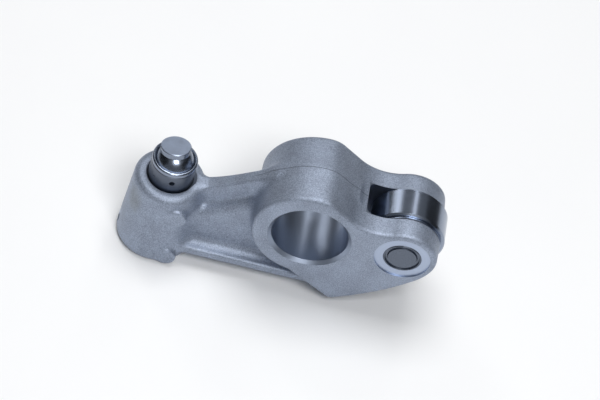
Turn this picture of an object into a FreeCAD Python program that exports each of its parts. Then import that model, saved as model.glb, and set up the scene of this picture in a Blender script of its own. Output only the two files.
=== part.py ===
"""Roller rocker arm with a hydraulic lash adjuster and a swivel foot.

The frame is the shaft bore's: the origin is the middle of the bore, +Y runs along the
bore, +Z is parallel to the adjuster's axis and points the way the foot does, and +X
points to the roller. All sizes are millimetres and degrees.
"""
import FreeCAD
import Part
import math
import os
import Sketcher

V = FreeCAD.Vector

# Each row is a size's name, its value and what it is.
SIZES = [
    ("hub_width", 21.8, "length of the shaft bore and width over the fork's cheeks"),
    ("shaft_radius", 10.0, "radius of the shaft bore"),
    ("shaft_chamfer", 0.85, "chamfer at both mouths of the shaft bore"),
    ("hub_radius", 15.05, "outside of the hub at its faces"),
    ("draft_angle", 2.3, "draft of the hub and fork, wider towards the parting plane"),
    ("face_round", 1.0, "rounding along the edges of the hub and fork"),
    ("shoulder_radius", 5.0, "tight arc where the hub turns down to the fork"),
    ("flank_angle", 36.0, "slope of the flank between the hub and the fork"),
    ("saddle_radius", 12.0, "hollow arc between the flank and the fork's end"),
    ("pin_reach", 24.4, "roller pin's distance from the shaft along X"),
    ("pin_rise", 0.6, "roller pin's height over the shaft"),
    ("fork_end_radius", 8.9, "rounded end of the fork about the pin"),
    ("heel_radius", 15.0, "arc that leads from the fork's end to its lower edge"),
    ("heel_start", 20.0, "where the heel arc begins, below the X direction"),
    ("heel_stop", 42.0, "where the heel arc ends, below the X direction"),
    ("belly_radius", 70.0, "long arc of the fork's lower edge"),
    ("keel_reach", 10.0, "middle of the keel's rounding, from the shaft along X"),
    ("keel_round", 2.2, "rounding of the keel corner"),
    ("keel_angle", 32.0, "slope of the edge from the keel corner up to the hub"),
    ("slot_width", 10.0, "gap between the fork's cheeks"),
    ("slot_reach", 12.3, "end wall of the slot, from the shaft along X"),
    ("slot_corner", 1.8, "rounding of the slot's inner corners"),
    ("pin_radius", 5.0, "roller pin and its holes in the cheeks"),
    ("spot_radius", 7.3, "machined spot face round the pin"),
    ("spot_depth", 0.35, "depth of the spot face below the cheek"),
    ("pin_proud", 0.15, "how far the pin's ends stand over the spot faces"),
    ("pin_lip", 0.45, "lip outside the staking groove in the pin's ends"),
    ("stake_width", 0.8, "width of the staking groove"),
    ("stake_depth", 0.45, "depth of the staking groove"),
    ("pin_bevel", 0.2, "chamfer on the pin's edge"),
    ("roller_radius", 10.2, "outside of the roller"),
    ("roller_width", 8.6, "width of the roller"),
    ("roller_bevel", 0.45, "chamfer at the roller's edges"),
    ("needle_radius", 1.0, "radius of a needle"),
    ("needle_length", 7.8, "length of a needle"),
    ("needle_play", 0.03, "radial play of a needle, inside and outside"),
    ("washer_thickness", 0.5, "thrust washer"),
    ("washer_radius", 9.3, "outside of the thrust washer"),
    ("washer_play", 0.1, "play of the washer's hole on the pin"),
    ("adjuster_reach", 38.0, "adjuster's distance from the shaft along -X"),
    ("boss_top", -1.2, "height of the boss's upper face"),
    ("boss_height", 24.8, "height of the boss"),
    ("boss_top_radius", 9.3, "boss at its upper face"),
    ("boss_low_radius", 10.2, "boss at its lower face"),
    ("boss_top_round", 2.0, "rounding round the upper face"),
    ("boss_low_round", 2.2, "rounding round the lower face"),
    ("bore_radius", 6.0, "adjuster bore"),
    ("bore_depth", 20.8, "depth of the adjuster bore"),
    ("bore_bevel", 0.5, "chamfer at the bore's mouth"),
    ("pad_radius", 2.8, "ejector pads on the boss"),
    ("pad_offset", 3.9, "ejector pads, from the adjuster's axis along X"),
    ("upper_pad_drop", 6.2, "upper pad's centre below the boss's face"),
    ("lower_pad_drop", 21.4, "lower pad's centre below the boss's face"),
    ("upper_pad_reach", 9.45, "upper pad's face from the middle plane"),
    ("lower_pad_reach", 10.1, "lower pad's face from the middle plane"),
    ("rib_width", 4.0, "rib along the top of the arm"),
    ("rib_height", 6.4, "rib above the shoulder of the arm's web"),
    ("rib_low", -1.9, "top of the rib at the boss"),
    ("rib_middle", 2.7, "top of the rib at the middle of the arm"),
    ("rib_high", 9.6, "top of the rib at the hub"),
    ("web_width", 8.2, "web under its shoulder"),
    ("web_spread", 1.8, "how much wider the web is at its foot"),
    ("flange_width", 16.4, "lower flange of the arm"),
    ("flange_thickness", 2.6, "edge thickness of the lower flange"),
    ("rib_round", 0.8, "small roundings along the arm"),
    ("shoulder_drop", 3.0, "rounded shoulder of the web, over the gallery"),
    ("flange_hollow", 2.6, "hollow between the web and the flange"),
    ("arm_base", -21.7, "underside of the arm"),
    ("gallery_radius", 1.5, "oil gallery drilled along the arm"),
    ("gallery_angle", 29.0, "rise of the gallery from the adjuster to the shaft"),
    ("gallery_drop", 15.2, "gallery at the adjuster's axis, below the boss's face"),
    ("plug_radius", 2.0, "ball that closes the outer end of the gallery"),
    ("plug_seat", 8.0, "shoulder that the ball is pressed against, from the adjuster's axis"),
    ("sleeve_play", 0.05, "radial play of the sleeve in the adjuster bore"),
    ("sleeve_rise", 5.6, "sleeve's upper edge over the boss's face"),
    ("sleeve_length", 22.0, "length of the sleeve"),
    ("lash_travel", 2.5, "how far the sleeve can be pushed down from its stop"),
    ("stop_wire", 0.4, "radius of the stop ring's wire"),
    ("stop_depth", 5.4, "stop ring below the boss's face"),
    ("stop_opening", 8.0, "half the opening between the stop ring's ends"),
    ("stop_recess", 0.45, "depth of the sleeve's recess for the stop ring"),
    ("stop_play", 0.03, "play of the stop ring's wire in its grooves"),
    ("sleeve_bore_radius", 4.6, "bore of the sleeve, which the plunger fits"),
    ("partition_depth", 9.0, "underside of the sleeve's partition, below its upper edge"),
    ("oil_groove_width", 3.4, "oil grooves round the sleeve and the plunger"),
    ("oil_groove_depth", 0.4, "depth of the oil grooves"),
    ("oil_hole_radius", 0.6, "oil holes in the sleeve and the plunger"),
    ("bleed_radius", 0.75, "bleed hole of the foot's socket"),
    ("bleed_drop", 2.3, "bleed hole below the sleeve's upper edge"),
    ("bleed_turn", 6.0, "bleed hole's turn from the -Y direction towards -X"),
    ("ring_height", 1.3, "retaining ring over the sleeve"),
    ("ring_round", 0.55, "rounding of the ring's outer edge"),
    ("ring_bevel", 0.25, "chamfer of the ring's inner edge"),
    ("sleeve_bevel", 0.15, "chamfer of the sleeve's outer edges"),
    ("ball_radius", 5.4, "ball of the swivel foot"),
    ("ball_drop", 1.0, "ball's centre below the sleeve's upper edge"),
    ("ball_play", 0.06, "play between the ball and its socket"),
    ("foot_height", 5.7, "foot's face over the ball's centre"),
    ("foot_radius", 3.96, "foot's face and its side"),
    ("foot_bevel", 0.2, "chamfer round the foot's face"),
    ("foot_side", 1.5, "height of the foot's side"),
    ("foot_neck", 3.7, "neck between the foot and its ball"),
    ("foot_hollow", 0.7, "hollow under the foot's side"),
    ("foot_tilt", 12.5, "tilt at which the foot rests"),
    ("foot_heading", 119.0, "direction of that tilt, from +X towards +Y"),
    ("plunger_play", 0.04, "radial play of the plunger in the sleeve"),
    ("plunger_drop", 9.0, "plunger's closed end below the boss's face"),
    ("plunger_crown", 2.2, "thickness of the plunger's closed end"),
    ("reservoir_radius", 3.1, "reservoir inside the plunger"),
    ("seat_radius", 1.1, "hole that the check ball closes"),
    ("seat_depth", 1.2, "seat below the plunger's upper face"),
    ("seat_well_radius", 1.9, "well round the check ball"),
    ("check_ball_radius", 1.5, "check ball"),
    ("cage_height", 2.7, "check cage over the plunger"),
    ("cage_wall", 0.25, "sheet of the check cage"),
    ("cage_radius", 2.3, "outside of the check cage's cup"),
    ("cage_flange_radius", 4.3, "flange of the check cage"),
    ("cage_hole_radius", 0.6, "hole in the top of the check cage"),
    ("check_wire", 0.14, "radius of the check spring's wire"),
    ("check_coil", 1.0, "mean radius of the check spring"),
    ("check_turns", 2.5, "turns of the check spring"),
    ("spring_wire", 0.32, "radius of the plunger spring's wire"),
    ("spring_coil", 3.75, "mean radius of the plunger spring"),
    ("spring_turns", 3.5, "turns of the plunger spring"),
    ("seating_gap", 0.02, "gap where a spring, a ball or a pressed piece rests"),
    ("overcut", 1.0, "how far a tool runs past the face it cuts"),
    ("arm_overlap", 2.0, "how far the arm's end reaches into the boss past the bore's wall"),
    ("hub_overlap", 3.0, "how far the arm's top reaches into the hub"),
    ("corner_ease", 1.1, "arc radius over the corner it rounds, in the arm's section"),
]
NEEDLES = 18
WIRE_ARCS = 8
FULL_TURN = 360
SHEET = "sizes"

doc = FreeCAD.newDocument("rocker_arm")
sheet = doc.addObject("Spreadsheet::Sheet", SHEET)
for row, (name, value, meaning) in enumerate(SIZES, start=1):
    sheet.set("A%d" % row, name)
    sheet.set("B%d" % row, str(value))
    sheet.set("C%d" % row, meaning)
    sheet.setAlias("B%d" % row, name)
doc.recompute()
NAMES = sorted((name for name, _, _ in SIZES), key=len, reverse=True)


def cells(formula):
    """Write a formula of size names as an expression on the sheet's cells."""
    words = []
    word = ""
    for letter in formula + " ":
        if letter.isalnum() or letter in "_.":
            word += letter
            continue
        words.append("%s.%s" % (SHEET, word) if word in NAMES else word)
        words.append(letter)
        word = ""
    return "".join(words).strip()


def size(formula):
    """The number that a formula of size names gives."""
    value = sheet.evalExpression(cells(str(formula)))
    return float(getattr(value, "Value", value))


def bind(thing, path, formula):
    """Tie one property to a formula of size names."""
    thing.setExpression(path, cells(str(formula)))


def new_body(name):
    """A body with the name that its file gets."""
    body = doc.addObject("PartDesign::Body", name)
    body.Label = name
    return body


def new_sketch(body, name, role, shift=None):
    """A sketch on one of the body's own planes; shift is {axis: formula} along that plane's axes."""
    sketch = body.newObject("Sketcher::SketchObject", name)
    plane = next(item for item in body.Origin.OriginFeatures if item.Role == role)
    sketch.AttachmentSupport = [(plane, "")]
    sketch.MapMode = "FlatFace"
    for axis, formula in (shift or {}).items():
        bind(sketch, "AttachmentOffset.Base." + axis, formula)
    return sketch


def arc_between(start, end, radius):
    """The short arc from start to end; a positive radius bulges to the left of the way."""
    chord = end - start
    half = chord.Length / 2
    rise = math.sqrt(max(radius * radius - half * half, 0.0))
    side = V(-chord.y, chord.x, 0).normalize() * (1 if radius > 0 else -1)
    centre = (start + end) * 0.5 - side * rise
    return Part.Arc(start, centre + side * abs(radius), end)


def draw_profile(sketch, corners, rounds=None):
    """Closed outline, drawn clockwise through corners that are pairs of formulas.

    Every corner is tied to the sheet by its two coordinates. rounds makes the edge that
    starts at a corner an arc: its radius as a formula, and 1 for an outward arc or -1
    for a hollow one.
    """
    rounds = rounds or {}
    points = [V(size(x), size(y), 0) for x, y in corners]
    count = len(points)
    for index in range(count):
        start = points[index]
        end = points[(index + 1) % count]
        if index in rounds:
            formula, sign = rounds[index]
            sketch.addGeometry(arc_between(start, end, sign * size(formula)), False)
        else:
            sketch.addGeometry(Part.LineSegment(start, end), False)
    ends = []
    for index in range(count):
        start = points[index]
        first = sketch.getPoint(index, 1)
        ends.append((1, 2) if (first - start).Length < 1e-6 else (2, 1))
    for index in range(count):
        after = (index + 1) % count
        sketch.addConstraint(Sketcher.Constraint("Coincident", index, ends[index][1], after, ends[after][0]))
    for index, (x, y) in enumerate(corners):
        for kind, formula in (("DistanceX", x), ("DistanceY", y)):
            number = sketch.addConstraint(
                Sketcher.Constraint(kind, -1, 1, index, ends[index][0], size(formula)))
            bind(sketch, "Constraints[%d]" % number, formula)
    for index, (formula, sign) in rounds.items():
        number = sketch.addConstraint(Sketcher.Constraint("Radius", index, size(formula)))
        bind(sketch, "Constraints[%d]" % number, formula)
    return sketch


def turn_profile(body, name, role, corners, rounds=None, kind="PartDesign::Revolution", shift=None):
    """Turn a closed outline through a full circle about its sketch's upright axis."""
    sketch = draw_profile(new_sketch(body, name + "_outline", role, shift), corners, rounds)
    feature = body.newObject(kind, name)
    feature.Profile = sketch
    feature.ReferenceAxis = (sketch, ["V_Axis"])
    feature.Angle = FULL_TURN
    return feature


def polar(radius, angle):
    """The point at that radius and angle from the origin of a sketch."""
    return V(radius * math.cos(math.radians(angle)), radius * math.sin(math.radians(angle)), 0)


def way_to_circle(start, way, centre, radius):
    """How far along a direction a line first meets a circle."""
    along = (start - centre).dot(way)
    rest = (start - centre).dot(start - centre) - radius * radius
    root = math.sqrt(along * along - rest)
    return -along - root


def draw_side_outline(sketch):
    """The hub and the fork seen along the shaft: nine edges that run tangent into each other.

    The hub's circle turns down in a tight shoulder to a straight flank, which a hollow
    saddle joins to the fork's end; a heel and a long belly lead back to the keel corner,
    and a straight edge climbs from there to the hub.
    """
    hub = size("hub_radius")
    pin = V(size("pin_reach"), size("pin_rise"), 0)
    fork_end = size("fork_end_radius")
    saddle_radius = size("saddle_radius")
    heel_radius = size("heel_radius")
    belly_radius = size("belly_radius")
    keel_round = size("keel_round")
    shoulder = V(0, hub - size("shoulder_radius"), 0)
    flank_out = polar(1, 90 - size("flank_angle"))
    flank_way = polar(1, -size("flank_angle"))
    flank_start = shoulder + flank_out * size("shoulder_radius")
    saddle_line = flank_start + flank_out * saddle_radius
    flank_length = way_to_circle(saddle_line, flank_way, pin, fork_end + saddle_radius)
    flank_end = flank_start + flank_way * flank_length
    saddle = saddle_line + flank_way * flank_length
    saddle_end = pin + (saddle - pin) * (fork_end / (fork_end + saddle_radius))
    heel = pin - polar(heel_radius - fork_end, -size("heel_start"))
    heel_start = pin + polar(fork_end, -size("heel_start"))
    heel_end = heel + polar(heel_radius, -size("heel_stop"))
    belly = heel - polar(belly_radius - heel_radius, -size("heel_stop"))
    keel_x = size("keel_reach")
    keel_drop = math.sqrt((belly_radius - keel_round) ** 2 - (keel_x - belly.x) ** 2)
    keel = V(keel_x, belly.y - keel_drop, 0)
    belly_end = belly + (keel - belly) * (belly_radius / (belly_radius - keel_round))
    edge_way = polar(1, 180 - size("keel_angle"))
    edge_start = keel - polar(keel_round, 90 - size("keel_angle"))
    edge_length = way_to_circle(edge_start, edge_way, V(0, 0, 0), hub)
    edge_end = edge_start + edge_way * edge_length
    top = V(0, hub, 0)
    edges = [
        Part.Arc(top, shoulder + polar(size("shoulder_radius"), 90 - size("flank_angle") / 2), flank_start),
        Part.LineSegment(flank_start, flank_end),
        arc_between(flank_end, saddle_end, -saddle_radius),
        Part.Arc(saddle_end, pin + V(fork_end, 0, 0), heel_start),
        arc_between(heel_start, heel_end, heel_radius),
        arc_between(heel_end, belly_end, belly_radius),
        arc_between(belly_end, edge_start, keel_round),
        Part.LineSegment(edge_start, edge_end),
        Part.Arc(edge_end, V(-hub, 0, 0), top),
    ]
    for edge in edges:
        sketch.addGeometry(edge, False)
    radii = {0: "shoulder_radius", 2: "saddle_radius", 3: "fork_end_radius", 4: "heel_radius",
             5: "belly_radius", 6: "keel_round", 8: "hub_radius"}
    starts = [top, flank_start, flank_end, saddle_end, heel_start, heel_end, belly_end, edge_start, edge_end]
    ends = [(1, 2) if (sketch.getPoint(n, 1) - starts[n]).Length < 1e-6 else (2, 1) for n in range(len(edges))]
    for number in range(len(edges)):
        after = (number + 1) % len(edges)
        kind = "Coincident" if number == 7 else "Tangent"
        sketch.addConstraint(Sketcher.Constraint(kind, number, ends[number][1], after, ends[after][0]))
    sketch.addConstraint(Sketcher.Constraint("Coincident", 8, 3, -1, 1))
    sketch.addConstraint(Sketcher.Constraint("PointOnObject", 0, 3, -2))
    ties = [("Radius", (number,), formula) for number, formula in radii.items()]
    ties += [
        ("DistanceX", (-1, 1, 3, 3), "pin_reach"),
        ("DistanceY", (-1, 1, 3, 3), "pin_rise"),
        ("DistanceX", (4, 3, 3, 3), "(heel_radius - fork_end_radius) * cos(heel_start)"),
        ("DistanceX", (5, 3, 4, 3), "(belly_radius - heel_radius) * cos(heel_stop)"),
        ("DistanceX", (-1, 1, 6, 3), "keel_reach"),
        ("DistanceX", (0, 3, 0, ends[0][1]), "shoulder_radius * sin(flank_angle)"),
        ("DistanceX", (6, ends[6][1], 6, 3), "keel_round * sin(keel_angle)"),
    ]
    for kind, places, formula in ties:
        number = sketch.addConstraint(Sketcher.Constraint(kind, *places, size(formula)))
        bind(sketch, "Constraints[%d]" % number, formula)
    return sketch


def cut_or_add(body, kind, name, sketch, **settings):
    """One feature of a body on a sketch; a setting that is text is tied to the sheet."""
    feature = body.newObject(kind, name)
    feature.Profile = sketch
    for key, value in settings.items():
        if isinstance(value, str) and key in ("Length", "Length2", "TaperAngle"):
            bind(feature, key, value)
        else:
            setattr(feature, key, value)
    return feature


def round_sketch(body, name, role, radius, middle=("0", "0"), shift=None):
    """A sketch of one circle, tied to the sheet by its middle and its radius."""
    sketch = new_sketch(body, name, role, shift)
    sketch.addGeometry(Part.Circle(V(size(middle[0]), size(middle[1]), 0), V(0, 0, 1), size(radius)), False)
    for kind, place, formula in (("DistanceX", (-1, 1, 0, 3), middle[0]), ("DistanceY", (-1, 1, 0, 3), middle[1]),
                                 ("Radius", (0,), radius)):
        number = sketch.addConstraint(Sketcher.Constraint(kind, *place, size(formula)))
        bind(sketch, "Constraints[%d]" % number, formula)
    return sketch


def edges_where(feature, test):
    """Names of a feature's edges that pass a test, in the form that a fillet takes."""
    return ["Edge%d" % number for number, edge in enumerate(feature.Shape.Edges, start=1) if test(edge)]


def on_plane_y(edge, y):
    """Whether an edge lies in the plane at that y."""
    box = edge.BoundBox
    return abs(box.YMin - y) < 1e-4 and abs(box.YMax - y) < 1e-4


def arm_section(body, name, place, top):
    """The arm cut across at one place: rib, rounded shoulders, web and lower flange."""
    half_rib = "rib_width / 2"
    half_web = "web_width / 2"
    half_flange = "flange_width / 2"
    shoulder = "(%s) - rib_height" % top
    flange_top = "arm_base + flange_thickness"
    right = [
        (half_rib + " - rib_round", top),
        (half_rib, "(%s) - rib_round" % top),
        (half_rib, shoulder + " + rib_round"),
        (half_rib + " + rib_round", shoulder),
        (half_web, shoulder + " - shoulder_drop"),
        (half_web + " + web_spread / 2", flange_top + " + flange_hollow"),
        (half_flange + " - rib_round", flange_top + " + rib_round"),
        (half_flange, flange_top),
        (half_flange, "arm_base + rib_round"),
        (half_flange + " - rib_round", "arm_base"),
    ]
    left = [("-(%s)" % y, z) for y, z in reversed(right)]
    rounds = {0: ("rib_round * corner_ease", 1), 2: ("rib_round * corner_ease", -1), 3: ("shoulder_drop", 1),
              5: ("flange_hollow", -1), 6: ("rib_round * corner_ease", 1), 8: ("rib_round * corner_ease", 1)}
    last = len(right) + len(left) - 2
    rounds.update({last - number: rounds[number] for number in list(rounds)})
    return draw_profile(new_sketch(body, name, "YZ_Plane", {"z": place}), right + left, rounds)


def make_casting():
    """The cast arm: hub and fork, arm, adjuster boss, and all that is machined in them."""
    body = new_body("rocker_casting")
    outline = draw_side_outline(new_sketch(body, "side_outline", "XZ_Plane", {"z": "hub_width / 2"}))
    front = cut_or_add(body, "PartDesign::Pad", "front_half", outline, Length="hub_width / 2",
                       TaperAngle="draft_angle", Reversed=True)
    both = body.newObject("PartDesign::Mirrored", "both_halves")
    both.Originals = [front]
    both.MirrorPlane = (next(item for item in body.Origin.OriginFeatures if item.Role == "XZ_Plane"), [""])
    body.Tip = both
    doc.recompute()
    half = size("hub_width") / 2
    rounding = body.newObject("PartDesign::Fillet", "face_rounding")
    rounding.Base = (both, edges_where(both, lambda edge: on_plane_y(edge, half) or on_plane_y(edge, -half)))
    bind(rounding, "Radius", "face_round")
    doc.recompute()
    stations = [
        ("-(adjuster_reach - bore_radius + arm_overlap)", "rib_low"),
        ("-(adjuster_reach + bore_radius) / 2", "rib_middle"),
        ("-(hub_radius - hub_overlap)", "rib_high"),
        ("keel_reach - overcut", "rib_high"),
    ]
    sections = [arm_section(body, "arm_section_%d" % number, place, top)
                for number, (place, top) in enumerate(stations)]
    arm = body.newObject("PartDesign::AdditiveLoft", "arm")
    arm.Profile = sections[0]
    arm.Sections = sections[1:]
    doc.recompute()
    turn_profile(body, "boss", "XZ_Plane", [
        ("0", "boss_top"),
        ("boss_top_radius - boss_top_round", "boss_top"),
        ("boss_top_radius", "boss_top - boss_top_round"),
        ("boss_low_radius", "boss_top - boss_height + boss_low_round"),
        ("boss_low_radius - boss_low_round", "boss_top - boss_height"),
        ("0", "boss_top - boss_height"),
    ], {1: ("boss_top_round", 1), 3: ("boss_low_round", 1)}, shift={"x": "-adjuster_reach"})
    doc.recompute()
    for name in ("upper_pad", "lower_pad"):
        place = ("pad_offset - adjuster_reach", "boss_top - %s_drop" % name)
        spot = round_sketch(body, name + "_circle", "XZ_Plane", "pad_radius", place)
        cut_or_add(body, "PartDesign::Pad", name, spot, Length=name + "_reach")
    slot = draw_profile(new_sketch(body, "slot_outline", "XY_Plane"), [
        ("slot_reach", "slot_width / 2 - slot_corner"),
        ("slot_reach + slot_corner", "slot_width / 2"),
        ("pin_reach + fork_end_radius * 2", "slot_width / 2"),
        ("pin_reach + fork_end_radius * 2", "-slot_width / 2"),
        ("slot_reach + slot_corner", "-slot_width / 2"),
        ("slot_reach", "-(slot_width / 2 - slot_corner)"),
    ], {0: ("slot_corner", 1), 4: ("slot_corner", 1)})
    cut_or_add(body, "PartDesign::Pocket", "slot", slot, SideType="Symmetric", Length="hub_radius * 4")
    turn_profile(body, "shaft_bore", "XY_Plane", [
        ("0", "hub_width / 2 + overcut"),
        ("shaft_radius + shaft_chamfer + overcut", "hub_width / 2 + overcut"),
        ("shaft_radius", "hub_width / 2 - shaft_chamfer"),
        ("shaft_radius", "-(hub_width / 2 - shaft_chamfer)"),
        ("shaft_radius + shaft_chamfer + overcut", "-(hub_width / 2 + overcut)"),
        ("0", "-(hub_width / 2 + overcut)"),
    ], kind="PartDesign::Groove")
    turn_profile(body, "pin_hole", "XY_Plane", [
        ("0", "hub_width / 2 + overcut"),
        ("spot_radius", "hub_width / 2 + overcut"),
        ("spot_radius", "hub_width / 2 - spot_depth"),
        ("pin_radius", "hub_width / 2 - spot_depth"),
        ("pin_radius", "-(hub_width / 2 - spot_depth)"),
        ("spot_radius", "-(hub_width / 2 - spot_depth)"),
        ("spot_radius", "-(hub_width / 2 + overcut)"),
        ("0", "-(hub_width / 2 + overcut)"),
    ], kind="PartDesign::Groove", shift={"x": "pin_reach", "z": "pin_rise"})
    turn_profile(body, "adjuster_bore", "XZ_Plane", [
        ("0", "boss_top + overcut"),
        ("bore_radius + bore_bevel + overcut", "boss_top + overcut"),
        ("bore_radius", "boss_top - bore_bevel"),
        ("bore_radius", "boss_top - stop_depth + stop_wire + stop_play"),
        ("bore_radius + stop_wire + stop_play", "boss_top - stop_depth + stop_wire + stop_play"),
        ("bore_radius + stop_wire + stop_play", "boss_top - stop_depth - stop_wire - stop_play"),
        ("bore_radius", "boss_top - stop_depth - stop_wire - stop_play"),
        ("bore_radius", "boss_top - bore_depth"),
        ("0", "boss_top - bore_depth"),
    ], kind="PartDesign::Groove", shift={"x": "-adjuster_reach"})
    drilling = draw_profile(new_sketch(body, "gallery_outline", "XZ_Plane",
                                       {"x": "-adjuster_reach", "y": "boss_top - gallery_drop"}), [
        ("-(boss_low_radius * 1.5)", "plug_radius"),
        ("-plug_seat", "plug_radius"),
        ("-plug_seat", "gallery_radius"),
        ("(adjuster_reach - shaft_radius + arm_overlap) / cos(gallery_angle)", "gallery_radius"),
        ("(adjuster_reach - shaft_radius + arm_overlap) / cos(gallery_angle)", "0"),
        ("-(boss_low_radius * 1.5)", "0"),
    ])
    drilling.AttachmentOffset = FreeCAD.Placement(drilling.AttachmentOffset.Base,
                                                  FreeCAD.Rotation(V(0, 0, 1), size("gallery_angle")))
    bind(drilling, "AttachmentOffset.Rotation.Angle", "gallery_angle")
    gallery = body.newObject("PartDesign::Groove", "gallery")
    gallery.Profile = drilling
    gallery.ReferenceAxis = (drilling, ["H_Axis"])
    gallery.Angle = FULL_TURN
    doc.recompute()
    return body


def set_on_axis(body, x=None, y=None, z=None):
    """Place a body by formulas; its own origin then sits at that point."""
    for axis, formula in (("x", x), ("y", y), ("z", z)):
        if formula is not None:
            bind(body, ".Placement.Base." + axis, formula)
    return body


def turned_piece(name, role, corners, rounds=None, place=None):
    """A body of one turned outline, placed by formulas."""
    body = new_body(name)
    turn_profile(body, name + "_turned", role, corners, rounds)
    return set_on_axis(body, **(place or {}))


def cross_hole(body, name, role, radius, drop, reverse):
    """A hole square to the piece's axis, from the axis out through one wall."""
    circle = round_sketch(body, name + "_circle", role, radius, ("0", drop))
    return cut_or_add(body, "PartDesign::Pocket", name, circle, Length="bore_radius * 2", Reversed=reverse)


def make_roller_set():
    """The roller on its needles and pin, with a thrust washer at each side."""
    at_pin = {"x": "pin_reach", "z": "pin_rise"}
    end = "(hub_width / 2 - spot_depth + pin_proud)"
    stake = "(pin_radius - pin_lip - stake_width)"
    wall = "stake_width / 4"
    upper = [
        ("0", end),
        (stake, end),
        ("%s + %s" % (stake, wall), end + " - stake_depth"),
        ("pin_radius - pin_lip - " + wall, end + " - stake_depth"),
        ("pin_radius - pin_lip", end),
        ("pin_radius - pin_bevel", end),
        ("pin_radius", end + " - pin_bevel"),
    ]
    lower = [(x, "-(%s)" % y) for x, y in reversed(upper)]
    turned_piece("roller_pin", "XY_Plane", upper + lower, place=at_pin)
    track = "(pin_radius + 2 * needle_radius + 2 * needle_play)"
    side = "roller_width / 2"
    turned_piece("roller_ring", "XY_Plane", [
        (track + " + roller_bevel / 2", side),
        ("roller_radius - roller_bevel", side),
        ("roller_radius", side + " - roller_bevel"),
        ("roller_radius", "-(%s - roller_bevel)" % side),
        ("roller_radius - roller_bevel", "-(%s)" % side),
        (track + " + roller_bevel / 2", "-(%s)" % side),
        (track, "-(%s - roller_bevel / 2)" % side),
        (track, side + " - roller_bevel / 2"),
    ], place=at_pin)
    for name, way in (("thrust_washer_front", "-1"), ("thrust_washer_back", "1")):
        turned_piece(name, "XY_Plane", [
            ("pin_radius + washer_play", "washer_thickness / 2"),
            ("washer_radius", "washer_thickness / 2"),
            ("washer_radius", "-washer_thickness / 2"),
            ("pin_radius + washer_play", "-washer_thickness / 2"),
        ], place={"x": "pin_reach", "y": way + " * (slot_width + roller_width) / 4", "z": "pin_rise"})
    orbit = "(pin_radius + needle_radius + needle_play)"
    for number in range(NEEDLES):
        turn = "%d * 360deg / %d" % (number, NEEDLES)
        needle = doc.addObject("Part::Cylinder", "needle_%02d" % (number + 1))
        needle.Label = needle.Name
        needle.Placement = FreeCAD.Placement(V(0, 0, 0), FreeCAD.Rotation(V(1, 0, 0), -90))
        bind(needle, "Radius", "needle_radius")
        bind(needle, "Height", "needle_length")
        set_on_axis(needle, "pin_reach + %s * cos(%s)" % (orbit, turn), "-needle_length / 2",
                    "pin_rise + %s * sin(%s)" % (orbit, turn))


def make_sleeve():
    """The adjuster's sliding sleeve: socket and bleed hole above, plunger bore below."""
    outside = "(bore_radius - sleeve_play)"
    socket = "(ball_radius + ball_play)"
    groove = "(sleeve_rise + gallery_drop - bore_radius * tan(gallery_angle))"
    stop = "(sleeve_rise + stop_depth)"
    body = turned_piece("adjuster_sleeve", "XZ_Plane", [
        ("sqrt(%s ^ 2 - ball_drop ^ 2)" % socket, "0"),
        (outside + " - sleeve_bevel", "0"),
        (outside, "-sleeve_bevel"),
        (outside, "-%s + lash_travel + stop_wire + stop_play" % stop),
        (outside + " - stop_recess", "-%s + lash_travel + stop_wire + stop_play" % stop),
        (outside + " - stop_recess", "-%s - stop_wire - stop_play" % stop),
        (outside, "-%s - stop_wire - stop_play" % stop),
        (outside, "-%s + oil_groove_width / 2" % groove),
        (outside + " - oil_groove_depth", "-%s + oil_groove_width / 2 - oil_groove_depth" % groove),
        (outside + " - oil_groove_depth", "-%s - oil_groove_width / 2 + oil_groove_depth" % groove),
        (outside, "-%s - oil_groove_width / 2" % groove),
        (outside, "-sleeve_length + sleeve_bevel"),
        (outside + " - sleeve_bevel", "-sleeve_length"),
        ("sleeve_bore_radius", "-sleeve_length"),
        ("sleeve_bore_radius", "-partition_depth"),
        ("0", "-partition_depth"),
        ("0", "-(ball_drop + %s)" % socket),
    ], {16: (socket, -1)}, {"x": "-adjuster_reach", "z": "boss_top + sleeve_rise"})
    body.Placement = FreeCAD.Placement(body.Placement.Base, FreeCAD.Rotation(V(0, 0, 1), -size("bleed_turn")))
    bind(body, ".Placement.Rotation.Angle", "bleed_turn")
    cross_hole(body, "bleed_hole", "XZ_Plane", "bleed_radius", "-bleed_drop", True)
    cross_hole(body, "oil_hole", "YZ_Plane", "oil_hole_radius", "-" + groove, False)
    return body


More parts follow.
